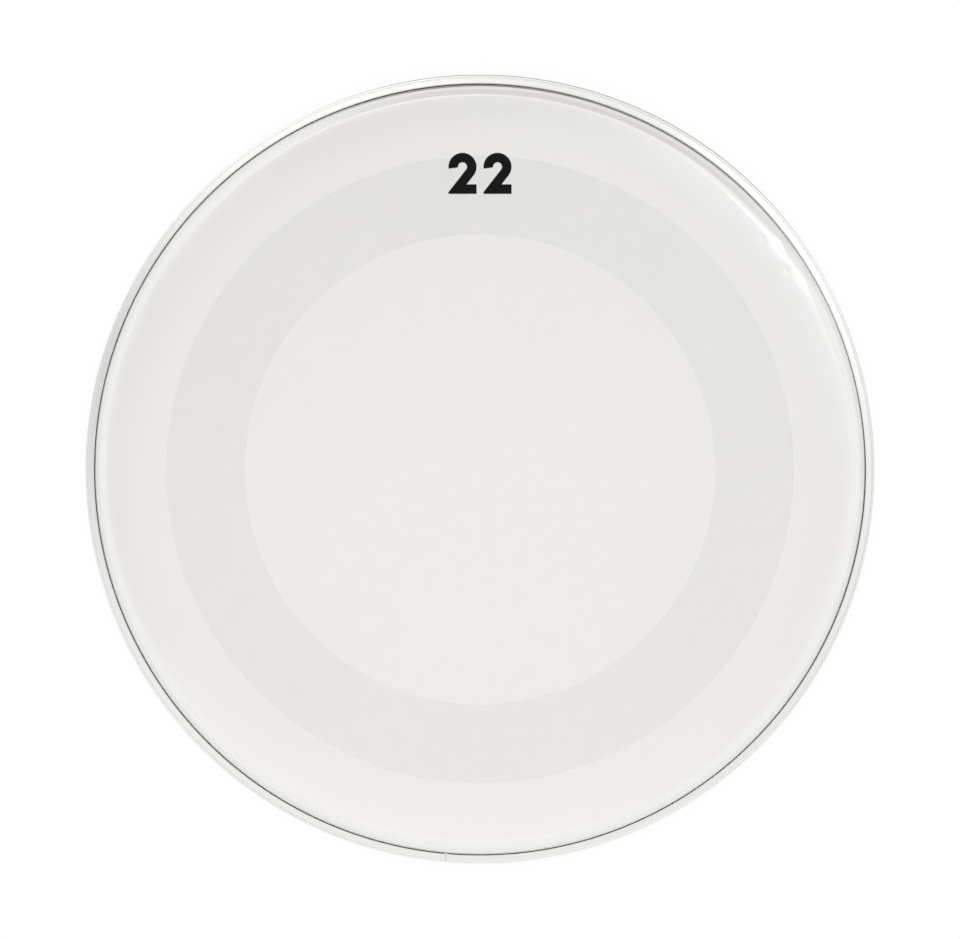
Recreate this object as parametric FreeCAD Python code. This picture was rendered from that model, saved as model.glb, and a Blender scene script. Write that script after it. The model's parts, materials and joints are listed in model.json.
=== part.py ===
import FreeCAD, Part
import math
import os

# A 22 inch clear bass drum head, lying with its playing side up.
# The origin is the centre of the plane that the hoop stands on, and +Z points out of the playing side.
# Driving dimensions are in millimetres and degrees.

# Drum shell that the head slips over
shell_diameter = 558.8
shell_clearance = 1.2

# Hoop, roll-formed from one flat strip: bends are inside radii
strip_thickness = 0.9
channel_width = 6.1
hoop_height = 11.5
inner_wall_height = 8.6
floor_bend = 0.9
lip_bend = 0.1
lip_turn = 4.5
lip_gap = 0.25
groove_inset = 1.95
groove_depth = 0.28
groove_roller_radius = 0.7
seam_gap = 0.2
seam_angle = 265.0

# Film with its formed collar: bends are middle radii
film_thickness = 0.25
crown_rise = 13.0
crown_inset = 5.9
crown_bend = 2.4
knee_rise = 1.0
knee_bend = 3.0
hem_height = 6.0

# Split ring that the film's hem is hooked round
lock_split = 3.0

# Muffling ring bonded under the film
muffle_margin = 44.9
muffle_width = 57.15
muffle_thickness = 0.19
adhesive_thickness = 0.05

# Slack left round the film where it is trapped in the hoop
seat_clearance = 0.05

# Radii and heights that follow from the driving dimensions
shell_radius = shell_diameter / 2
bore_radius = shell_radius + shell_clearance
channel_inner = bore_radius + strip_thickness
channel_outer = channel_inner + channel_width
hoop_radius = channel_outer + strip_thickness
hem_space = film_thickness + 2 * seat_clearance
lip_radius = channel_inner + seat_clearance + film_thickness + lip_gap
lip_edge_height = hoop_height - lip_turn
crown_radius = shell_radius - crown_inset
crown_top = hoop_height + crown_rise
crown_underside = crown_top - film_thickness
muffle_outer = crown_radius - muffle_margin
muffle_inner = muffle_outer - muffle_width

origin = FreeCAD.Vector(0, 0, 0)
up = FreeCAD.Vector(0, 0, 1)


def at(radius, height):
    return FreeCAD.Vector(radius, 0, height)


def line(start, end):
    return Part.LineSegment(start, end).toShape()


def arc(start, middle, end):
    return Part.Arc(start, middle, end).toShape()


def headings(points):
    return [(end - start).normalize() for start, end in zip(points, points[1:])]


def left_of(heading):
    return FreeCAD.Vector(-heading.z, 0, heading.x)


# One side of a bent strip: the middle line's runs and bends, moved to the left by an offset
def strip_side(points, bends, offset):
    runs = headings(points)
    normals = [left_of(run) for run in runs]
    start = points[0] + normals[0] * offset
    edges = []
    for index, bend in enumerate(bends):
        run_in = runs[index]
        run_out = runs[index + 1]
        normal_in = normals[index]
        both = normal_in + normals[index + 1]
        corner = points[index + 1] + both * (offset / (1 + normal_in.dot(normals[index + 1])))
        turn = math.copysign(1, run_out.dot(normal_in))
        radius = bend - turn * offset
        tangent = radius * math.tan(run_in.getAngle(run_out) / 2)
        bend_start = corner - run_in * tangent
        bend_end = corner + run_out * tangent
        centre = bend_start + normal_in * (turn * radius)
        bend_middle = centre - both.normalize() * (turn * radius)
        edges.append(line(start, bend_start))
        edges.append(arc(bend_start, bend_middle, bend_end))
        start = bend_end
    edges.append(line(start, points[-1] + normals[-1] * offset))
    return edges


# The end of a strip, square cut or rolled round
def strip_end(point, heading, thickness, rolled):
    side = left_of(heading) * (thickness / 2)
    if rolled:
        return arc(point + side, point + heading * (thickness / 2), point - side)
    return line(point + side, point - side)


# The section of a strip that is bent along its middle line
def bent_strip(points, bends, thickness, rolled_ends=False):
    runs = headings(points)
    edges = strip_side(points, bends, thickness / 2)
    edges += strip_side(points, bends, -thickness / 2)
    edges.append(strip_end(points[0], -runs[0], thickness, rolled_ends))
    edges.append(strip_end(points[-1], runs[-1], thickness, rolled_ends))
    return Part.Face(Part.Wire(Part.sortEdges(edges)[0]))


def rectangle(inner, outer, low, high):
    corners = [at(inner, low), at(outer, low), at(outer, high), at(inner, high), at(inner, low)]
    return Part.Face(Part.makePolygon(corners))


def full_ring(section):
    return section.revolve(origin, up, 360)


# A ring rolled from bar or strip, whose two ends face each other across a gap
def open_ring(section, gap, gap_radius, gap_angle):
    missing = math.degrees(gap / gap_radius)
    ring = section.revolve(origin, up, 360 - missing)
    ring.rotate(origin, up, gap_angle + missing / 2)
    return ring


# Channel that opens upwards, with its outer wall rolled in to a flat lip and the lip's edge turned down
def make_hoop_channel():
    half = strip_thickness / 2
    wall_radius = bore_radius + half
    outer_radius = hoop_radius - half
    edge_radius = lip_radius + half
    lip_height = hoop_height - half
    points = [
        at(wall_radius, inner_wall_height - half),
        at(wall_radius, half),
        at(outer_radius, half),
        at(outer_radius, lip_height),
        at(edge_radius, lip_height),
        at(edge_radius, lip_edge_height + half),
    ]
    bends = [floor_bend + half, floor_bend + half, lip_bend + half, lip_bend + half]
    section = bent_strip(points, bends, strip_thickness, rolled_ends=True)
    groove_centre = at(hoop_radius - groove_inset, hoop_height + groove_roller_radius - groove_depth)
    roller = Part.makeCircle(groove_roller_radius, groove_centre, FreeCAD.Vector(0, 1, 0))
    section = section.cut(Part.Face(Part.Wire(roller))).Faces[0]
    return open_ring(section, seam_gap, hoop_radius, seam_angle)


# Square bar under the lip, inside the film's hem, split opposite the hoop's seam
def make_locking_ring():
    inner = channel_inner + hem_space
    outer = channel_outer - hem_space
    low = strip_thickness + hem_space
    high = lip_edge_height - seat_clearance
    bar = open_ring(rectangle(inner, outer, low, high), lock_split, outer, seam_angle + 180)
    long_edges = [edge for edge in bar.Edges if edge.Curve.TypeId == "Part::GeomCircle"]
    return bar.makeFillet(floor_bend - hem_space, long_edges)


# One sheet: flat crown, formed collar, then down the channel's inner wall and round the locking ring
def make_batter_film():
    half = film_thickness / 2
    inner_run = channel_inner + seat_clearance + half
    outer_run = channel_outer - seat_clearance - half
    floor_run = strip_thickness + seat_clearance + half
    crown_height = crown_top - half
    points = [
        at(0, crown_height),
        at(crown_radius, crown_height),
        at(inner_run, inner_wall_height + knee_rise),
        at(inner_run, floor_run),
        at(outer_run, floor_run),
        at(outer_run, hem_height),
    ]
    hem_bend = floor_bend - seat_clearance - half
    bends = [crown_bend, knee_bend, hem_bend, hem_bend]
    return full_ring(bent_strip(points, bends, film_thickness))


def make_ring_adhesive():
    low = crown_underside - adhesive_thickness
    return full_ring(rectangle(muffle_inner, muffle_outer, low, crown_underside))


def make_muffle_ring():
    high = crown_underside - adhesive_thickness
    return full_ring(rectangle(muffle_inner, muffle_outer, high - muffle_thickness, high))


pieces = {
    "hoop_channel": make_hoop_channel(),
    "locking_ring": make_locking_ring(),
    "batter_film": make_batter_film(),
    "ring_adhesive": make_ring_adhesive(),
    "muffle_ring": make_muffle_ring(),
}

os.makedirs("parts", exist_ok=True)
for name, piece in pieces.items():
    piece.exportStep(f"parts/{name}.step")
    print(name, "solids", len(piece.Solids), "valid", piece.isValid(), "volume", round(piece.Volume, 1))
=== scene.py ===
import json
import math
import bmesh
import bpy
from mathutils import Matrix, Vector


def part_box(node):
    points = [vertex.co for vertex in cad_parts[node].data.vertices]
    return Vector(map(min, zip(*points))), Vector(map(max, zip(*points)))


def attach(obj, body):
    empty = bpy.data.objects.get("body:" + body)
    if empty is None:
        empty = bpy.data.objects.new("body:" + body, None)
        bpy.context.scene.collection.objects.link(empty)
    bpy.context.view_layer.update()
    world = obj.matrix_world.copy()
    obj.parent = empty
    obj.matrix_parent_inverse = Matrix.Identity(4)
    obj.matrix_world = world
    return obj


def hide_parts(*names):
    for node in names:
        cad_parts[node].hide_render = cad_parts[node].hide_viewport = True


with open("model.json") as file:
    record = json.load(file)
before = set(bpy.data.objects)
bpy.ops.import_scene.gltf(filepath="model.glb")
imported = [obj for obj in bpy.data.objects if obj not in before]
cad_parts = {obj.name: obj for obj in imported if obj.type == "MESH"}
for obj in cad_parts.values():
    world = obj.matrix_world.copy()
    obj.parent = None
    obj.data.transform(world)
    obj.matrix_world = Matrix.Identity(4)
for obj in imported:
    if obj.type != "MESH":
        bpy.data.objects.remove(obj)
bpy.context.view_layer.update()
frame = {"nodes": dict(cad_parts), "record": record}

mm = 0.001
turn = 2 * math.pi
socket = frame["record"]["mounts"][0]  # the bore that slips over the drum shell
boreRadius = socket["dims"]["r_mm"] * mm
print("frame loaded", sorted(frame["nodes"]))


def newObject(name, data):
    thing = bpy.data.objects.new(name, data)
    bpy.context.scene.collection.objects.link(thing)
    return thing


# The camera looks straight down, from far off, so the head shows as plain circles
camera = {
    "distance": 5.0,
    "imageWidth": 960,
    "metresPerPixel": 0.73057 * mm,  # at the hoop's lip
    "sensor": 36.0,
}


def makeCamera():
    data = bpy.data.cameras.new("camera")
    data.sensor_width = camera["sensor"]
    viewWidth = camera["imageWidth"] * camera["metresPerPixel"]
    data.lens = camera["sensor"] * camera["distance"] / viewWidth
    eye = newObject("camera", data)
    eye.location = (0, 0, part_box("hoop_channel")[1].z + camera["distance"])
    bpy.context.scene.camera = eye


makeCamera()
print("camera set")


# A direction from its azimuth and its angle from straight up, in degrees
def skyward(azimuth, tilt):
    across = math.sin(math.radians(tilt))
    return Vector((
        across * math.cos(math.radians(azimuth)),
        across * math.sin(math.radians(azimuth)),
        math.cos(math.radians(tilt)),
    ))


# Directions in a plane, with angles in radians
def compass(angle):
    return Vector((math.cos(angle), math.sin(angle)))


def turned(arm, swing):
    return Vector((
        arm.x * math.cos(swing) - arm.y * math.sin(swing),
        arm.x * math.sin(swing) + arm.y * math.cos(swing),
    ))


def headingLeft(heading):
    return Vector((-heading.y, heading.x))


# 0 up to the low value, 1 from the high one on, and a soft change between them
def smoothStep(value, low, high):
    share = min(max((value - low) / (high - low), 0), 1)
    return share * share * (3 - 2 * share)


# 1 within one angle of a direction and 0 beyond another, from the cosine of the angle to it
def nearness(cosine, full, gone):
    return smoothStep(cosine, math.cos(math.radians(gone)), math.cos(math.radians(full)))


# Node helpers
def addNode(tree, kind, **settings):
    node = tree.nodes.new(kind)
    for name, value in settings.items():
        setattr(node, name, value)
    return node


# Sets or links inputs by name, or by number where the name is i and digits
def feed(tree, node, **inputs):
    for name, value in inputs.items():
        numbered = name[0] == "i" and name[1:].isdigit()
        key = int(name[1:]) if numbered else name.replace("_", " ")
        if isinstance(value, bpy.types.NodeSocket):
            tree.links.new(value, node.inputs[key])
        else:
            node.inputs[key].default_value = value
    return node


def mathNode(tree, operation, *values):
    node = addNode(tree, "ShaderNodeMath", operation=operation)
    feed(tree, node, **{f"i{index}": value for index, value in enumerate(values)})
    return node.outputs[0]


def vectorNode(tree, operation, *values, result="Vector"):
    node = addNode(tree, "ShaderNodeVectorMath", operation=operation)
    feed(tree, node, **{f"i{index}": value for index, value in enumerate(values)})
    return node.outputs[result]


def scaled(tree, vector, factor):
    node = addNode(tree, "ShaderNodeVectorMath", operation="SCALE")
    feed(tree, node, i0=vector, Scale=factor)
    return node.outputs[0]


def fromParts(tree, **parts):
    return feed(tree, addNode(tree, "ShaderNodeCombineXYZ"), **parts).outputs[0]


def smoothRange(tree, value, low, high, toLow=0.0, toHigh=1.0):
    node = addNode(tree, "ShaderNodeMapRange", interpolation_type="SMOOTHSTEP")
    feed(tree, node, i0=value, i1=low, i2=high, i3=toLow, i4=toHigh)
    return node.outputs[0]


# The same as nearness, for a direction that nodes give
def nearRange(tree, direction, azimuth, tilt, full, gone, toLow=0.0, toHigh=1.0):
    cosine = vectorNode(tree, "DOT_PRODUCT", direction, skyward(azimuth, tilt), result="Value")
    low, high = math.cos(math.radians(gone)), math.cos(math.radians(full))
    return smoothRange(tree, cosine, low, high, toLow, toHigh)


def mixColour(tree, share, first, second):
    node = addNode(tree, "ShaderNodeMix", data_type="RGBA")
    feed(tree, node, i0=share, i6=first, i7=second)
    return node.outputs[2]


def mixShaders(tree, share, first, second):
    node = addNode(tree, "ShaderNodeMixShader")
    feed(tree, node, i0=share, i1=first, i2=second)
    return node.outputs[0]


def noise(tree, vector, scale, detail=2.0, roughness=0.5):
    node = addNode(tree, "ShaderNodeTexNoise")
    feed(tree, node, Vector=vector, Scale=scale, Detail=detail, Roughness=roughness)
    return node.outputs[0]


# Sections are drawn in a plane: x is the distance from the head's axis and y is the height
drawing = {
    "guard": 0.12 * mm,  # distance of the extra points that keep flats flat beside a bend
    "level": 0.001 * mm,  # heights closer than this count as the same
    "touch": 0.01 * mm,  # and so do distances from the axis
}


# A run of corners with its bends rounded, as points with the offset direction to the left of each
def roundedLine(corners, bends, counts, guard=drawing["guard"]):
    corners = [Vector(corner) for corner in corners]
    runs = [(end - start).normalized() for start, end in zip(corners, corners[1:])]
    line = [(corners[0], headingLeft(runs[0]))]
    for corner, bend, runIn, runOut, steps in zip(corners[1:], bends, runs, runs[1:], counts):
        leftIn, leftOut = headingLeft(runIn), headingLeft(runOut)
        mitre = (leftIn + leftOut) / (1 + leftIn.dot(leftOut))
        if bend == 0:
            line.append((corner, mitre))
            continue
        side = math.copysign(1, runOut.dot(leftIn))
        angle = runIn.angle(runOut)
        reach = bend * math.tan(angle / 2) + guard
        centre = corner + mitre * (side * bend)
        line.append((corner - runIn * reach, leftIn))
        for step in range(steps + 1):
            bent = turned(leftIn, side * angle * step / steps)
            line.append((centre - bent * (side * bend), bent))
        line.append((corner + runOut * reach, leftOut))
    line.append((corners[-1], headingLeft(runs[-1])))
    return line


# Both sides of a strip bent along a line, going out on the left and back on the right
def stripOutline(line, thickness, rolledEnds=False, endSteps=6):
    half = thickness / 2
    left = [point + offset * half for point, offset in line]
    right = [point - offset * half for point, offset in line]
    if not rolledEnds:
        return left + right[::-1]
    farEnd = halfRound(line[-1][0], left[-1], endSteps)
    nearEnd = halfRound(line[0][0], right[0], endSteps)
    return left + farEnd + right[::-1] + nearEnd


# Points of a half circle, clockwise from its start, without the two ends
def halfRound(centre, start, steps):
    arm = start - centre
    return [centre + turned(arm, -math.pi * step / steps) for step in range(1, steps)]


# A box with rounded corners, drawn from the middle of its inner side
def roundedBox(inner, outer, low, high, rounding, steps=4):
    middle = (low + high) / 2
    sides = [(inner, low), (outer, low), (outer, high), (inner, high)]
    corners = [(inner, middle)] + sides + [(inner, middle)]
    # a thin sheet's edge must not fold over itself
    guard = min(((high - low) / 2 - rounding) / 2, drawing["guard"])
    line = roundedLine(corners, [rounding] * 4, [steps] * 4, guard)
    return [point for point, offset in line[:-1]]


def sectionCurve(name, points, closed):
    data = bpy.data.curves.new(name, "CURVE")
    data.dimensions = "3D"
    spline = data.splines.new("POLY")
    spline.points.add(len(points) - 1)
    for point, place in zip(spline.points, points):
        point.co = (place[0], place[1], 0, 1)
    spline.use_cyclic_u = closed
    return newObject(name, data)


# One tree makes every ring: a section swept round the axis, whole or with a gap,
# with ripples where it has them
ringInputs = {
    # socket, and its value where a piece gives none
    "Section": ("NodeSocketObject", None),
    "Material": ("NodeSocketMaterial", None),
    "Path Radius": ("NodeSocketFloat", 200 * mm),
    "Segments": ("NodeSocketInt", 360),
    "Gap Turn": ("NodeSocketFloat", 0.0),
    "Gap Angle": ("NodeSocketFloat", 0.0),
    "Crowding": ("NodeSocketFloat", 0.0),
    "Ripple Height": ("NodeSocketFloat", 0.0),
    "Ripple Length": ("NodeSocketFloat", 1.0),
    "Ripple Start": ("NodeSocketFloat", 1.0),
    "Ripple End": ("NodeSocketFloat", 2.0),
    "Ripple Seed": ("NodeSocketFloat", 0.0),
    "Sharp Angle": ("NodeSocketFloat", math.radians(40)),
}
ringForm = {
    "poleRadius": 0.05 * mm,  # nearer the axis than this, a section closes to a point
    "weld": 0.002 * mm,
    "ripplePeak": 0.7,  # share of the way from the ripples' start to their end
}


# A circle, or an arc from one side of the gap round to the other,
# with its points crowded together where it starts
def ringPath(tree, sizes, split):
    circle = addNode(tree, "GeometryNodeCurvePrimitiveCircle")
    feed(tree, circle, Resolution=sizes["Segments"])
    line = addNode(tree, "GeometryNodeCurvePrimitiveLine")
    points = addNode(tree, "GeometryNodeResampleCurve")
    feed(tree, points, Curve=line.outputs[0], Count=mathNode(tree, "ADD", sizes["Segments"], 1))
    path = addNode(tree, "GeometryNodeSwitch", input_type="GEOMETRY")
    feed(tree, path, i0=split, i1=circle.outputs[0], i2=points.outputs[0])
    along = addNode(tree, "GeometryNodeSplineParameter").outputs["Factor"]
    wave = mathNode(tree, "SINE", mathNode(tree, "MULTIPLY", along, turn))
    pull = mathNode(tree, "MULTIPLY", wave, mathNode(tree, "DIVIDE", sizes["Crowding"], turn))
    sweep = mathNode(tree, "SUBTRACT", turn, sizes["Gap Turn"])
    start = mathNode(tree, "MULTIPLY_ADD", sizes["Gap Turn"], 0.5, sizes["Gap Angle"])
    spaced = mathNode(tree, "SUBTRACT", along, pull)
    angle = mathNode(tree, "MULTIPLY_ADD", spaced, sweep, start)
    outward = fromParts(tree, X=mathNode(tree, "COSINE", angle), Y=mathNode(tree, "SINE", angle))
    bent = addNode(tree, "GeometryNodeSetPosition")
    feed(tree, bent, Geometry=path.outputs[0])
    feed(tree, bent, Position=scaled(tree, outward, sizes["Path Radius"]))
    upright = addNode(tree, "GeometryNodeSetCurveNormal", mode="Z_UP")
    return feed(tree, upright, Curve=bent.outputs[0]).outputs[0]


# The section, moved so that its own distances from the axis come out true, swept along the path
def sweptSection(tree, sizes, path, split):
    drawn = addNode(tree, "GeometryNodeObjectInfo")
    feed(tree, drawn, Object=sizes["Section"])
    shift = fromParts(tree, X=mathNode(tree, "MULTIPLY", sizes["Path Radius"], -1))
    moved = addNode(tree, "GeometryNodeTransform")
    feed(tree, moved, Geometry=drawn.outputs["Geometry"], Translation=shift, Scale=(1, -1, 1))
    swept = addNode(tree, "GeometryNodeCurveToMesh")
    feed(tree, swept, Curve=path, Profile_Curve=moved.outputs[0], Fill_Caps=split)
    return swept.outputs[0]


# Ripples fade in from their start and out again at their end
def rippleLift(tree, sizes, position, radius):
    start, end = sizes["Ripple Start"], sizes["Ripple End"]
    span = mathNode(tree, "SUBTRACT", end, start)
    peak = mathNode(tree, "MULTIPLY_ADD", span, ringForm["ripplePeak"], start)
    fadeIn = smoothRange(tree, radius, start, peak)
    fadeOut = smoothRange(tree, radius, peak, end, 1.0, 0.0)
    seed = fromParts(tree, X=sizes["Ripple Seed"], Y=sizes["Ripple Seed"])
    pitch = mathNode(tree, "DIVIDE", 1.0, sizes["Ripple Length"])
    spread = vectorNode(tree, "ADD", scaled(tree, position, pitch), seed)
    lumps = noise(tree, spread, scale=1.0, detail=1.0)
    evened = mathNode(tree, "SUBTRACT", lumps, 0.5)
    lift = mathNode(tree, "MULTIPLY", evened, sizes["Ripple Height"])
    faded = mathNode(tree, "MULTIPLY", mathNode(tree, "MULTIPLY", fadeIn, fadeOut), lift)
    return fromParts(tree, Z=faded)


def makeRingTree():
    tree = bpy.data.node_groups.new("sweptRing", "GeometryNodeTree")
    for name, (kind, usual) in ringInputs.items():
        tree.interface.new_socket(name, in_out="INPUT", socket_type=kind)
    tree.interface.new_socket("Geometry", in_out="OUTPUT", socket_type="NodeSocketGeometry")
    sizes = addNode(tree, "NodeGroupInput").outputs
    split = mathNode(tree, "GREATER_THAN", sizes["Gap Turn"], 0)
    swept = sweptSection(tree, sizes, ringPath(tree, sizes, split), split)

    # a section that starts on the axis is closed there
    position = addNode(tree, "GeometryNodeInputPosition").outputs[0]
    flat = vectorNode(tree, "MULTIPLY", position, (1, 1, 0))
    radius = vectorNode(tree, "LENGTH", flat, result="Value")
    pole = mathNode(tree, "LESS_THAN", radius, ringForm["poleRadius"])
    gathered = addNode(tree, "GeometryNodeSetPosition")
    feed(tree, gathered, Geometry=swept, Selection=pole)
    feed(tree, gathered, Position=vectorNode(tree, "MULTIPLY", position, (0, 0, 1)))
    merged = addNode(tree, "GeometryNodeMergeByDistance")
    feed(tree, merged, Geometry=gathered.outputs[0], Distance=ringForm["weld"])
    rippled = addNode(tree, "GeometryNodeSetPosition")
    feed(tree, rippled, Geometry=merged.outputs[0])
    feed(tree, rippled, Offset=rippleLift(tree, sizes, position, radius))

    # smooth all over, but for edges that are sharper than the bends
    smooth = addNode(tree, "GeometryNodeSetShadeSmooth", domain="FACE")
    feed(tree, smooth, Geometry=rippled.outputs[0], Shade_Smooth=True)
    corner = addNode(tree, "GeometryNodeInputMeshEdgeAngle").outputs[0]
    sharp = addNode(tree, "GeometryNodeSetShadeSmooth", domain="EDGE")
    feed(tree, sharp, Geometry=smooth.outputs[0], Shade_Smooth=False)
    feed(tree, sharp, Selection=mathNode(tree, "GREATER_THAN", corner, sizes["Sharp Angle"]))
    real = addNode(tree, "GeometryNodeRealizeInstances")
    feed(tree, real, Geometry=sharp.outputs[0])
    finish = addNode(tree, "GeometryNodeSetMaterial")
    feed(tree, finish, Geometry=real.outputs[0], Material=sizes["Material"])
    feed(tree, addNode(tree, "NodeGroupOutput"), Geometry=finish.outputs[0])
    return tree


ringTree = makeRingTree()
ringSockets = [item for item in ringTree.interface.items_tree if item.in_out == "INPUT"]
ringKeys = {item.name: item.identifier for item in ringSockets}


# Sweeps a section and keeps the result as a plain mesh whose faces point outwards
def sweepRing(name, points, closed, material, segments, **extra):
    section = sectionCurve(name + "Section", points, closed)
    piece = newObject(name, bpy.data.meshes.new(name))
    modifier = piece.modifiers.new("sweep", "NODES")
    modifier.node_group = ringTree
    given = {"Section": section, "Material": material, "Segments": segments, **extra}
    for label, (kind, usual) in ringInputs.items():
        modifier[ringKeys[label]] = given.get(label, usual)
    graph = bpy.context.evaluated_depsgraph_get()
    made = bpy.data.meshes.new_from_object(piece.evaluated_get(graph), depsgraph=graph)
    piece.modifiers.remove(modifier)
    piece.data = made
    made.name = name
    faceOutwards(made)
    bpy.data.objects.remove(section)
    print(name, len(made.polygons), "faces")
    return piece


def faceOutwards(mesh):
    work = bmesh.new()
    work.from_mesh(mesh)
    bmesh.ops.recalc_face_normals(work, faces=work.faces)
    if work.calc_volume(signed=True) < 0:
        bmesh.ops.reverse_faces(work, faces=work.faces)
    work.to_mesh(mesh)
    work.free()


# Every piece rides the one body, and stands for the solids it names
def fit(piece, slot, *nodes):
    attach(piece, "root")
    if nodes:
        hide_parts(*nodes)


# Material helpers
def newMaterial(name):
    material = bpy.data.materials.new(name)
    material.use_nodes = True
    tree = material.node_tree
    tree.nodes.clear()
    output = addNode(tree, "ShaderNodeOutputMaterial")
    place = addNode(tree, "ShaderNodeTexCoord").outputs["Object"]
    return material, tree, output, place


# Long streaks that run round the axis: the direction changes slowly, the radius and height quickly
def streaks(tree, place, fineness, stretch, detail, roughness=0.6):
    flat = vectorNode(tree, "MULTIPLY", place, (1, 1, 0))
    around = scaled(tree, vectorNode(tree, "NORMALIZE", flat), stretch)
    radius = vectorNode(tree, "LENGTH", flat, result="Value")
    parts = feed(tree, addNode(tree, "ShaderNodeSeparateXYZ"), Vector=place).outputs
    across = mathNode(tree, "MULTIPLY", mathNode(tree, "ADD", radius, parts["Z"]), fineness)
    spread = vectorNode(tree, "ADD", around, fromParts(tree, Z=across))
    return noise(tree, spread, scale=1.0, detail=detail, roughness=roughness)


def bump(tree, height, distance, strength):
    node = addNode(tree, "ShaderNodeBump")
    feed(tree, node, Height=height, Distance=distance, Strength=strength)
    return node.outputs[0]


# Hoop: rolled aluminium strip
hoop = {
    "strip": 0.9 * mm,
    "channel": 6.1 * mm,
    "innerWall": 8.6 * mm,
    "floorBend": 0.9 * mm,  # inside radius
    "lipBend": 0.1 * mm,
    "bendSteps": 8,
    "coinedBend": 0.4 * mm,  # outside radius of the lip's inner edge, tighter than the strip bends
    "lipEdge": 281.99 * mm,  # inner face of the turned-down edge
    "lipTurn": 4.5 * mm,
    "leanLow": 2.5 * mm,  # below the top, where a lean of the lip's edge starts
    "leanHigh": 1.0 * mm,  # and where it is full
    "leanRings": 6,
    "lipFall": 1.0 * mm,  # from the lip's inner edge to its outer one
    "fallFull": 1.0 * mm,  # below the top, down to where the fall is full
    "fallGone": 3.0 * mm,
    "grooveInset": 1.95 * mm,
    "grooveDepth": 0.22 * mm,
    "grooveRoller": 0.7 * mm,
    "seamGap": 0.2 * mm,
    "seamAngle": math.radians(265),
    "segments": 640,
    "crowding": 0.9,
    "sharpAngle": math.radians(30),
    "flareReach": 1.5 * mm,  # the ends splay in towards the film at the seam
    "flareDepth": 0.61 * mm,
    # the lip leans in on one side: azimuth, full within, gone beyond, depth
    "squeeze": (45, 12, 50, 0.57 * mm),
    "paleMetal": (0.90, 0.893, 0.874, 1),
    "dullMetal": (0.83, 0.823, 0.806, 1),
    "fineStreaks": (5200, 5.0, 3.0),  # fineness across, stretch round the axis, detail
    "broadStreaks": (700, 14.0, 1.0),
    "broadShare": 0.6,  # of the colour's change
    "scuffScale": 260,
    "scuffRange": (0.60, 0.72),
    "roughness": 0.22,
    "streakRoughness": 0.16,
    "scuffRoughness": 0.12,
    "broadRidge": 0.5,
    "ridgeHeight": 0.01 * mm,
    "ridgeStrength": 0.35,
}


def hoopMaterial():
    material, tree, output, place = newMaterial("rolledAluminium")
    fine = streaks(tree, place, *hoop["fineStreaks"])
    broad = streaks(tree, place, *hoop["broadStreaks"])
    scuff = noise(tree, place, hoop["scuffScale"], detail=3.0, roughness=0.65)
    scuff = smoothRange(tree, scuff, *hoop["scuffRange"])
    fineShare = mathNode(tree, "MULTIPLY", fine, 1.0 - hoop["broadShare"])
    share = mathNode(tree, "MULTIPLY_ADD", broad, hoop["broadShare"], fineShare)
    colour = mixColour(tree, share, hoop["dullMetal"], hoop["paleMetal"])
    grain = mathNode(tree, "MULTIPLY_ADD", fine, hoop["streakRoughness"], hoop["roughness"])
    rough = mathNode(tree, "MULTIPLY_ADD", scuff, hoop["scuffRoughness"], grain)
    ridges = mathNode(tree, "MULTIPLY_ADD", broad, hoop["broadRidge"], fine)
    metal = addNode(tree, "ShaderNodeBsdfPrincipled")
    feed(tree, metal, Base_Color=colour, Metallic=1.0, Roughness=rough)
    feed(tree, metal, Normal=bump(tree, ridges, hoop["ridgeHeight"], hoop["ridgeStrength"]))
    feed(tree, output, Surface=metal.outputs[0])
    return material


# Puts the round of a roller into the level stretch of an outline that it is pressed on
def cutGroove(outline, centre, roller, top, steps=6):
    depth = math.acos((centre[1] - top) / roller)
    swings = [depth - 2 * depth * step / steps for step in range(steps + 1)]
    cut = [Vector(centre) - turned(Vector((0, roller)), swing) for swing in swings]
    for index in range(1, len(outline)):
        start, end = outline[index - 1], outline[index]
        level = max(abs(start.y - top), abs(end.y - top)) < drawing["level"]
        if level and (start.x - centre[0]) * (end.x - centre[0]) < 0:
            return outline[:index] + (cut if start.x > end.x else cut[::-1]) + outline[index:]
    return outline


# The outside of the lip's inner bend is pressed out towards its corner, to a tighter radius
def coinEdge(point, top):
    bend = hoop["lipBend"] + hoop["strip"]
    saved = bend - hoop["coinedBend"]
    arm = point - Vector((hoop["lipEdge"] + bend, top - bend))
    if arm.x > 0 or arm.y < 0 or arm.length < bend / 2:
        return point
    return point + Vector((-saved, saved)) - arm * (saved / bend)


# The lip falls away a little towards the outside
def tiltLip(point, top, radius):
    across = (point.x - hoop["lipEdge"]) / (radius - hoop["lipEdge"])
    fade = hoop["fallGone"] - hoop["fallFull"]
    upper = min(max((point.y - top + hoop["fallGone"]) / fade, 0), 1)
    return Vector((point.x, point.y - hoop["lipFall"] * max(across, 0) * upper))


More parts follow.
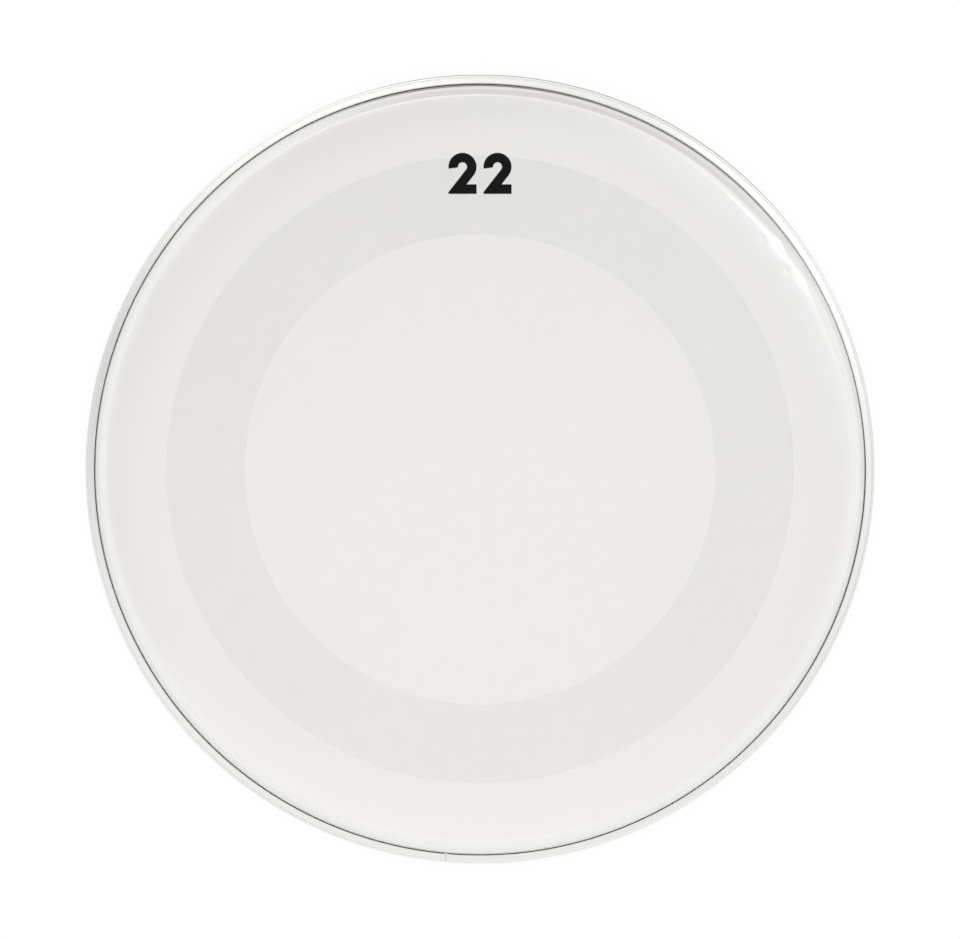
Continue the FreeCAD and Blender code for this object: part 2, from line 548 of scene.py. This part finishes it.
def makeHoop():
    half = hoop["strip"] / 2
    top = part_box("hoop_channel")[1].z
    wall = boreRadius + half
    outside = wall + hoop["strip"] + hoop["channel"]
    edge = hoop["lipEdge"] + half
    corners = [
        (wall, hoop["innerWall"] - half),
        (wall, half),
        (outside, half),
        (outside, top - half),
        (edge, top - half),
    ]
    rings = hoop["leanRings"]
    leanStep = (hoop["leanLow"] - hoop["leanHigh"]) / rings
    for ring in range(rings):
        corners.append((edge, top - hoop["leanHigh"] - leanStep * (ring + 1)))
    corners.append((edge, top - hoop["lipTurn"] + half))
    floorBend = hoop["floorBend"] + half
    lipBend = hoop["lipBend"] + half
    bends = [floorBend, floorBend, lipBend, lipBend] + [0] * rings
    line = roundedLine(corners, bends, [hoop["bendSteps"]] * len(bends))
    outline = stripOutline(line, hoop["strip"], rolledEnds=True)
    radius = outside + half
    groove = (radius - hoop["grooveInset"], top + hoop["grooveRoller"] - hoop["grooveDepth"])
    outline = [coinEdge(point, top) for point in outline]
    outline = cutGroove(outline, groove, hoop["grooveRoller"], top)
    outline = [tiltLip(point, top, radius) for point in outline]
    piece = sweepRing("hoop", outline, True, hoopMaterial(), hoop["segments"], **{
        "Gap Turn": hoop["seamGap"] / radius,
        "Gap Angle": hoop["seamAngle"],
        "Crowding": hoop["crowding"],
        "Sharp Angle": hoop["sharpAngle"],
    })
    shapeLip(piece.data, top)
    fit(piece, "hoop_aluminium", "hoop_channel")


# The lip's inner edge isn't quite even: it leans in to the film on one side, and at the seam
def shapeLip(mesh, top):
    seam = compass(hoop["seamAngle"])
    azimuth, full, gone, depth = hoop["squeeze"]
    squeezed = skyward(azimuth, 90).xy
    leanWidth = 2 * hoop["strip"]
    lipInner = hoop["lipEdge"] - drawing["touch"]
    lipOuter = hoop["lipEdge"] + leanWidth
    for vertex in mesh.vertices:
        flat = vertex.co.xy
        radius = flat.length
        upper = smoothStep(vertex.co.z, top - hoop["leanLow"], top - hoop["leanHigh"])
        if upper == 0 or not lipInner < radius < lipOuter:
            continue
        lean = depth * nearness(flat.dot(squeezed) / radius, full, gone)
        if flat.dot(seam) > 0:
            aside = flat.cross(seam) / hoop["flareReach"]
            lean += hoop["flareDepth"] * math.exp(-aside * aside)
        inner = (lipOuter - radius) / leanWidth
        vertex.co.xy = flat * (1 - lean * upper * inner / radius)


makeHoop()


# Locking ring: split steel bar under the lip
lock = {
    "bar": 5.4 * mm,
    "hemSpace": 0.35 * mm,  # for the film's hem, between the bar and the channel's wall
    "split": 3.0 * mm,
    "rounding": 0.55 * mm,
    "segments": 360,
    "zincPale": (0.68, 0.68, 0.67, 1),
    "zincDark": (0.50, 0.505, 0.51, 1),
    "spangleScale": 700.0,
    "spangleShare": 0.5,
    "cloudScale": 240,
    "roughness": 0.3,
    "cloudRoughness": 0.25,
    "bumpHeight": 0.01 * mm,
    "bumpStrength": 0.3,
}


def lockMaterial():
    material, tree, output, place = newMaterial("zincPlatedBar")
    voronoi = addNode(tree, "ShaderNodeTexVoronoi")
    feed(tree, voronoi, Vector=place, Scale=lock["spangleScale"])
    spangle = voronoi.outputs["Distance"]
    cloud = noise(tree, place, lock["cloudScale"], detail=3.0)
    cloudShare = mathNode(tree, "MULTIPLY", cloud, 1.0 - lock["spangleShare"])
    share = mathNode(tree, "MULTIPLY_ADD", spangle, lock["spangleShare"], cloudShare)
    colour = mixColour(tree, share, lock["zincDark"], lock["zincPale"])
    rough = mathNode(tree, "MULTIPLY_ADD", cloud, lock["cloudRoughness"], lock["roughness"])
    metal = addNode(tree, "ShaderNodeBsdfPrincipled")
    feed(tree, metal, Base_Color=colour, Metallic=1.0, Roughness=rough)
    feed(tree, metal, Normal=bump(tree, cloud, lock["bumpHeight"], lock["bumpStrength"]))
    feed(tree, output, Surface=metal.outputs[0])
    return material


def makeLock():
    low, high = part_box("locking_ring")
    outer = boreRadius + hoop["strip"] + hoop["channel"] - lock["hemSpace"]
    outline = roundedBox(outer - lock["bar"], outer, low.z, high.z, lock["rounding"])
    piece = sweepRing("lockingRing", outline, True, lockMaterial(), lock["segments"], **{
        "Gap Turn": lock["split"] / outer,
        "Gap Angle": hoop["seamAngle"] + math.pi,
    })
    fit(piece, "locking_steel", "locking_ring")


makeLock()


# Clear sheets: what the film, the muffling ring and its adhesive share
clear = {
    "glancePower": 4.0,  # how late a face starts to mirror more, towards a glancing view
    "cloudScale": 9.0,
    "roughness": 0.09,
    "mottleRoughness": 0.05,
    "hazeRange": (0.35, 0.75),
    "hazeColour": (0.90, 0.895, 0.885, 1),
}


# How much a clear face mirrors: little head on, more towards a glancing view, alike from both sides
def glossByAngle(tree, headOn):
    facing = feed(tree, addNode(tree, "ShaderNodeLayerWeight"), Blend=0.5).outputs["Facing"]
    glance = mathNode(tree, "POWER", facing, clear["glancePower"])
    return mathNode(tree, "MULTIPLY_ADD", glance, 1.0 - headOn, headOn)


def clearMaterial(name, sheet):
    material, tree, output, place = newMaterial(name)
    cloud = noise(tree, place, clear["cloudScale"], detail=3.0, roughness=0.55)
    mottle = noise(tree, place, sheet["grain"], detail=4.0, roughness=0.6)
    through = addNode(tree, "ShaderNodeBsdfTransparent")
    feed(tree, through, Color=mixColour(tree, cloud, sheet["clearTint"], sheet["dullTint"]))
    rough = mathNode(tree, "MULTIPLY_ADD", mottle, clear["mottleRoughness"], clear["roughness"])
    gloss = feed(tree, addNode(tree, "ShaderNodeBsdfAnisotropic"), Roughness=rough)
    mirrored = glossByAngle(tree, sheet["mirror"])
    glossy = mixShaders(tree, mirrored, through.outputs[0], gloss.outputs[0])
    haze = feed(tree, addNode(tree, "ShaderNodeBsdfDiffuse"), Color=clear["hazeColour"])
    share = smoothRange(tree, mottle, *clear["hazeRange"], *sheet["haze"])
    feed(tree, output, Surface=mixShaders(tree, share, glossy, haze.outputs[0]))
    return material


# Film: one clear sheet with a flat crown, a formed collar and a hem in the channel
film = {
    "thickness": 0.25 * mm,
    "slack": 0.05 * mm,
    "crownRadius": 273.5 * mm,
    "crownBend": 2.1 * mm,
    "kneeHeight": 9.6 * mm,
    "kneeBend": 3.0 * mm,
    "hemHeight": 6.0 * mm,
    "bendSteps": [5, 7, 5, 3, 3],  # shoulder, crown, knee and the hem's two bends
    "rollStart": 232.0 * mm,  # the crown begins to fall away here
    "rollEnd": 268.6 * mm,
    "rollSlope": math.radians(4.07),
    "rollPower": 2.0,
    "rollSteps": 34,
    "rollSpacing": 0.6,  # a power: the steps lie closer together towards the collar
    "shoulder": 270.45 * mm,  # and rounds over here to the collar's own bend
    "shoulderBend": 28.0 * mm,
    "shoulderSlope": math.radians(11),
    # full on one side, eased elsewhere: azimuth, full within, eased beyond
    "shoulderSide": (37, 9, 20),
    "shoulderEased": 0.75,  # share of it that is eased away
    "easedBeyond": 0.5 * mm,  # past the crown's radius
    "crownRings": 4,
    "segments": 600,
    "crowding": 0.6,
    "crowdAngle": math.radians(36),
    "rippleHeight": 0.06 * mm,
    "rippleLength": 18 * mm,
    "rippleSeed": 3.0,
    "dents": [
        # angle, distance from the axis, reach across, reach along, depth, push outwards
        (37.2, 272.5 * mm, 3.4 * mm, 9.5 * mm, 0.40 * mm, 1.9 * mm),
        (30.9, 272.7 * mm, 3.0 * mm, 9.0 * mm, 0.40 * mm, 1.8 * mm),
        (32.9, 266.6 * mm, 3.0 * mm, 3.0 * mm, 0.17 * mm, 0.0),
        (39.1, 266.0 * mm, 3.0 * mm, 3.0 * mm, 0.13 * mm, 0.0),
    ],
    "dentEnd": 3,  # in reaches along, where a dent has died away
    "pushStart": 269.0 * mm,
    "pushFull": 273.5 * mm,
    "pushFoot": 12.0 * mm,  # height on the collar at which the push has died away
    "pushHead": 22.0 * mm,
    "mirror": 0.075,  # share mirrored by each face, head on
    "clearTint": (0.9675, 0.959, 0.9455, 1),
    "dullTint": (0.9635, 0.955, 0.9415, 1),
    "haze": (0.0, 0.005),  # least and most
    "grain": 60.0,  # scale of the haze's mottle
}


# The film's middle line: flat, then falling away ever faster to the collar
def filmLine():
    half = film["thickness"] / 2
    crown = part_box("batter_film")[1].z - half
    innerRun = boreRadius + hoop["strip"] + film["slack"] + half
    outerRun = boreRadius + hoop["strip"] + hoop["channel"] - film["slack"] - half
    floorRun = hoop["strip"] + film["slack"] + half
    hemBend = hoop["floorBend"] - film["slack"] - half
    start, end, rings = film["rollStart"], film["rollEnd"], film["crownRings"]
    flats = [(start * ring / rings, crown) for ring in range(rings)]
    span = end - start
    power = film["rollPower"] + 1
    slope = math.tan(film["rollSlope"])
    roll = []
    for step in range(film["rollSteps"] + 1):
        share = (step / film["rollSteps"]) ** film["rollSpacing"]
        roll.append((start + span * share, crown - slope * span * share ** power / power))
    easeHeight = roll[-1][1] - slope * (film["shoulder"] - end)
    crownFall = math.tan(film["shoulderSlope"]) * (film["crownRadius"] - film["shoulder"])
    shoulder = [(film["shoulder"], easeHeight), (film["crownRadius"], easeHeight - crownFall)]
    hem = [
        (innerRun, film["kneeHeight"]),
        (innerRun, floorRun),
        (outerRun, floorRun),
        (outerRun, film["hemHeight"]),
    ]
    plain = [0] * (len(flats) + len(roll) - 1)
    bends = [film["shoulderBend"], film["crownBend"], film["kneeBend"], hemBend, hemBend]
    return roundedLine(flats + roll + shoulder + hem, plain + bends, plain + film["bendSteps"])


def makeFilm():
    outline = stripOutline(filmLine(), film["thickness"])
    finish = clearMaterial("clearFilm", film)
    piece = sweepRing("batterFilm", outline, False, finish, film["segments"], **{
        "Gap Angle": film["crowdAngle"],
        "Crowding": film["crowding"],
        "Ripple Height": film["rippleHeight"],
        "Ripple Length": film["rippleLength"],
        "Ripple Start": film["rollStart"],
        "Ripple End": film["crownRadius"],
        "Ripple Seed": film["rippleSeed"],
    })
    easeShoulder(piece.data)
    pressDents(piece.data)
    fit(piece, "clear_film", "batter_film")


# All round but for one side, the crown stays higher up to the collar's bend
def easeShoulder(mesh):
    extra = film["shoulderSlope"] - film["rollSlope"]
    bend = film["shoulderBend"]
    reach = bend * math.tan(extra / 2)
    bendStart, bendEnd = film["shoulder"] - reach, film["shoulder"] + reach
    span = film["crownRadius"] + film["easedBeyond"] - bendEnd
    azimuth, full, gone = film["shoulderSide"]
    side = skyward(azimuth, 90).xy
    for vertex in mesh.vertices:
        radius = vertex.co.xy.length
        if radius < bendStart:
            continue
        rounded = min(radius - bendStart, 2 * reach)
        beyond = min(max(radius - bendEnd, 0), span)
        lift = rounded ** 2 / (2 * bend) + extra * (beyond - beyond ** 2 / (2 * span))
        eased = 1 - nearness(vertex.co.xy.dot(side) / radius, full, gone)
        upper = smoothStep(vertex.co.z, film["pushFoot"], film["pushHead"])
        vertex.co.z += film["shoulderEased"] * lift * eased * upper


# Small dents near the collar, some with the collar pushed out, which catch the key lamp
def pressDents(mesh):
    foot, head = film["pushFoot"], film["pushHead"]
    for angle, distance, across, along, depth, push in film["dents"]:
        outward = compass(math.radians(angle))
        for vertex in mesh.vertices:
            flat, height = vertex.co.xy, vertex.co.z
            aside = outward.cross(flat) / along
            inside = outward.dot(flat) < film["rollStart"] or height < foot
            if inside or abs(aside) > film["dentEnd"]:
                continue
            radius = flat.length
            away = (radius - distance) / across
            side = math.exp(-aside * aside)
            upper = min((height - foot) / (head - foot), 1)
            share = smoothStep(radius, film["pushStart"], film["pushFull"])
            vertex.co.xy = flat * (1 + push * side * upper * share / radius)
            vertex.co.z -= depth * side * upper * math.exp(-away * away)


makeFilm()


# Muffling ring under the crown
muffle = {
    "width": 57.15 * mm,
    "gap": 0.01 * mm,  # keeps the faces of stacked clear sheets apart
    "rounding": 0.015 * mm,
    "segments": 360,
    "mirror": 0.012,
    "clearTint": (0.990, 0.990, 0.989, 1),
    "dullTint": (0.986, 0.986, 0.985, 1),
    "haze": (0.002, 0.007),
    "grain": 90.0,
}
# and the adhesive of the same outline that holds it there
adhesive = {
    "mirror": 0.004,
    "clearTint": (0.996, 0.996, 0.995, 1),
    "dullTint": (0.992, 0.992, 0.991, 1),
    "haze": (0.0, 0.01),
    "grain": 400.0,
}


def flatRing(name, node, finish):
    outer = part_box("muffle_ring")[1].x
    low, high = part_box(node)
    inner, top = outer - muffle["width"], high.z - muffle["gap"]
    outline = roundedBox(inner, outer, low.z, top, muffle["rounding"])
    return sweepRing(name, outline, True, finish, muffle["segments"])


def makeMuffle():
    ring = flatRing("muffleRing", "muffle_ring", clearMaterial("muffleFilm", muffle))
    fit(ring, "muffle_film", "muffle_ring")
    bond = flatRing("ringAdhesive", "ring_adhesive", clearMaterial("clearAdhesive", adhesive))
    fit(bond, "clear_adhesive", "ring_adhesive")


makeMuffle()


# Size figures printed on the film: the shell's diameter in inches
figures = {
    "height": 30 * mm,
    "width": 20.5 * mm,
    "stroke": 7.0 * mm,
    "spacing": 25.5 * mm,
    "bowlStart": 188,  # degrees, clockwise from there
    "bowlSweep": 226,
    "place": (0.0, 215.8 * mm),
    "ink": 0.02 * mm,
    "lift": 0.002 * mm,
    "inkBlack": (0.002, 0.002, 0.002, 1),
    "inkWorn": (0.009, 0.009, 0.009, 1),
    "screenScale": 900,
    "cloudScale": 80,
    "roughness": 0.5,
    "screenRoughness": 0.2,
    "gloss": 0.12,
    "bumpHeight": 0.004 * mm,
    "bumpStrength": 0.4,
}


def inkMaterial():
    material, tree, output, place = newMaterial("printedInk")
    screen = noise(tree, place, figures["screenScale"])
    cloud = noise(tree, place, figures["cloudScale"], detail=3.0)
    worn = mathNode(tree, "MULTIPLY", screen, cloud)
    colour = mixColour(tree, worn, figures["inkBlack"], figures["inkWorn"])
    rough = mathNode(tree, "MULTIPLY_ADD", screen, figures["screenRoughness"], figures["roughness"])
    ink = addNode(tree, "ShaderNodeBsdfPrincipled")
    feed(tree, ink, Base_Color=colour, Roughness=rough, Specular_IOR_Level=figures["gloss"])
    feed(tree, ink, Normal=bump(tree, screen, figures["bumpHeight"], figures["bumpStrength"]))
    feed(tree, output, Surface=ink.outputs[0])
    return material


# A plain 2: a bowl, a straight stroke that leaves it in its own direction, and a foot
def figureTwo(steps=24):
    width, stroke = figures["width"], figures["stroke"]
    outer = width / 2
    centre = Vector((outer, figures["height"] - outer))
    start, sweep = figures["bowlStart"], figures["bowlSweep"]
    rim = [compass(math.radians(start - sweep * step / steps)) for step in range(steps + 1)]
    heading = -headingLeft(rim[-1])
    outside = [centre + arm * outer for arm in rim]
    inside = [centre + arm * (outer - stroke) for arm in rim]
    armpit = outside[-1] + heading * ((stroke - outside[-1].y) / heading.y)
    heel = inside[-1] - heading * (inside[-1].x / heading.x)
    foot = [Vector((width, stroke)), Vector((width, 0)), Vector((0, 0))]
    return outside + [armpit] + foot + [heel] + inside[::-1]


def makeFigures():
    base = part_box("batter_film")[1].z + figures["lift"]
    middleX, middleY = figures["place"]
    start = middleX - (figures["spacing"] + figures["width"]) / 2
    foot = middleY - figures["height"] / 2
    outline = figureTwo()
    work = bmesh.new()
    for index in range(2):
        left = start + index * figures["spacing"]
        places = [(left + point.x, foot + point.y) for point in outline]
        low = [work.verts.new((*place, base)) for place in places]
        high = [work.verts.new((*place, base + figures["ink"])) for place in places]
        work.faces.new(low)
        work.faces.new(high)
        for here in range(len(outline)):
            work.faces.new((low[here - 1], low[here], high[here], high[here - 1]))
    bmesh.ops.triangulate(work, faces=work.faces)
    mesh = bpy.data.meshes.new("sizeFigures")
    work.to_mesh(mesh)
    work.free()
    faceOutwards(mesh)
    mesh.materials.append(inkMaterial())
    fit(newObject("sizeFigures", mesh), "mark_ink")
    print("size figures", len(mesh.polygons), "faces")


makeFigures()


# Studio: a white floor, a soft dome with paler and darker sides, and one key lamp
studio = {
    "floorSize": 40.0,
    "floorPaint": (0.12, 0.12, 0.12, 1),
    "floorGlow": 0.89,
    "floorMirrored": 1.0,
    "floorCool": (0.94, 1.0, 1.06, 1),
    # the floor is greyer on one side, in reflections: azimuth, full within, gone beyond, share
    "floorShade": (75, 10, 48, 0.95),
    "dome": (0.74, 0.74, 0.74),
    "cards": [
        # azimuth, angle from straight up, full within, gone beyond, light added
        (0, 0, 50, 80, (0.20, 0.20, 0.20)),
        (0, 0, 9, 16, (-0.50, -0.50, -0.50)),
        (0, 0, 2.2, 3.2, (0.20, 0.20, 0.20)),
        (265, 10, 4, 9, (0.50, 0.46, 0.39)),
        (225, 12.5, 2, 5, (0.20, 0.20, 0.18)),
        (235, 4.7, 0.8, 2.6, (-0.11, -0.11, -0.11)),
        (98, 13.2, 4.8, 8.6, (-0.55, -0.55, -0.55)),
        (75, 6, 2.5, 6, (-0.10, -0.10, -0.10)),
        (135, 5.3, 1, 4, (-0.30, -0.30, -0.29)),
        (135, 10, 3, 6, (-0.14, -0.14, -0.14)),
        (12, 8, 2, 5, (-0.22, -0.22, -0.22)),
        (5, 15, 4, 9, (0.09, 0.12, 0.15)),
        (38, 11, 2.5, 7, (0.28, 0.37, 0.48)),
        (60, 9, 6, 13, (-0.06, 0.0, 0.06)),
        (172, 13, 4.5, 8.5, (-0.40, -0.40, -0.40)),
        (37, 16, 3, 7, (0.30, 0.32, 0.34)),
        (30, 32, 9, 16, (0.04, -0.03, -0.11)),
        (343, 28, 8, 15, (0.07, 0.06, 0.04)),
        (74, 26, 7, 13, (0.17, 0.13, 0.06)),
        (97, 25, 4, 9, (0.16, 0.15, 0.13)),
        (119, 29, 11, 16, (0.64, 0.64, 0.63)),
        (154, 27, 7, 12, (-0.36, -0.36, -0.36)),
        (207, 32, 10, 18, (0.22, 0.22, 0.22)),
        (30, 80, 20, 42, (-0.10, -0.10, -0.10)),
        (120, 62, 24, 44, (0.14, 0.14, 0.14)),
        (285, 75, 22, 48, (0.30, 0.30, 0.30)),
    ],
    "keyAzimuth": 35.7,
    "keyTilt": 27.4,
    "keyDistance": 2.53,
    "keyLength": 0.75,
    "keyWidth": 0.27,
    "keySlant": math.radians(58),  # its lower end leans to the right
    "keyPower": 1.0,
    "clearBounces": 24,  # a low view passes many clear faces
}
white = (1, 1, 1, 1)


def makeDome():
    world = bpy.data.worlds.new("studio")
    bpy.context.scene.world = world
    world.use_nodes = True
    tree = world.node_tree
    tree.nodes.clear()
    direction = addNode(tree, "ShaderNodeTexCoord").outputs["Generated"]
    light = studio["dome"]
    for azimuth, tilt, full, gone, colour in studio["cards"]:
        share = nearRange(tree, direction, azimuth, tilt, full, gone)
        light = vectorNode(tree, "ADD", light, scaled(tree, colour, share))
    dome = feed(tree, addNode(tree, "ShaderNodeBackground"), Color=light, Strength=1.0)
    plain = feed(tree, addNode(tree, "ShaderNodeBackground"), Color=white, Strength=1.0)
    seen = addNode(tree, "ShaderNodeLightPath").outputs["Is Camera Ray"]
    output = addNode(tree, "ShaderNodeOutputWorld")
    feed(tree, output, Surface=mixShaders(tree, seen, dome.outputs[0], plain.outputs[0]))


# White to the camera and in mirrors, and grey paint under it that keeps the object's shadow
def floorMaterial():
    material, tree, output, place = newMaterial("paleFloor")
    paint = feed(tree, addNode(tree, "ShaderNodeBsdfDiffuse"), Color=studio["floorPaint"])
    path = addNode(tree, "ShaderNodeLightPath").outputs
    mirrored = mathNode(tree, "MAXIMUM", path["Is Glossy Ray"], path["Is Transmission Ray"])
    tint = mixColour(tree, mirrored, white, studio["floorCool"])
    azimuth, full, gone, share = studio["floorShade"]
    outward = vectorNode(tree, "NORMALIZE", vectorNode(tree, "MULTIPLY", place, (1, 1, 0)))
    grey = nearRange(tree, outward, azimuth, 90, full, gone, 1.0, 1.0 - share)
    shaded = mathNode(tree, "MULTIPLY", mirrored, grey)
    seen = mathNode(tree, "MULTIPLY", path["Is Camera Ray"], studio["floorGlow"])
    strength = mathNode(tree, "MULTIPLY_ADD", shaded, studio["floorMirrored"], seen)
    glow = feed(tree, addNode(tree, "ShaderNodeEmission"), Color=tint, Strength=strength)
    both = addNode(tree, "ShaderNodeAddShader")
    feed(tree, both, i0=paint.outputs[0], i1=glow.outputs[0])
    feed(tree, output, Surface=both.outputs[0])
    return material


def makeFloor():
    half = studio["floorSize"] / 2
    corners = [(-half, -half, 0), (half, -half, 0), (half, half, 0), (-half, half, 0)]
    mesh = bpy.data.meshes.new("floor")
    mesh.from_pydata(corners, [], [(0, 1, 2, 3)])
    mesh.materials.append(floorMaterial())
    floor = newObject("floor", mesh)


def makeKey():
    data = bpy.data.lights.new("key", "AREA")
    data.shape = "ELLIPSE"
    data.size = studio["keyLength"]
    data.size_y = studio["keyWidth"]
    data.energy = studio["keyPower"]
    lamp = newObject("key", data)
    towards = skyward(studio["keyAzimuth"], studio["keyTilt"])
    lamp.location = towards * studio["keyDistance"]
    level = Vector((0, 0, 1)).cross(towards).normalized()
    lower = level.cross(towards)
    slant = studio["keySlant"]
    length = math.sin(slant) * lower - math.cos(slant) * level
    axes = Matrix((length, towards.cross(length), towards))
    lamp.rotation_euler = axes.transposed().to_euler()


makeDome()
makeFloor()
makeKey()
bpy.context.scene.view_settings.view_transform = "Standard"
bpy.context.scene.cycles.transparent_max_bounces = studio["clearBounces"]
print("studio lit")
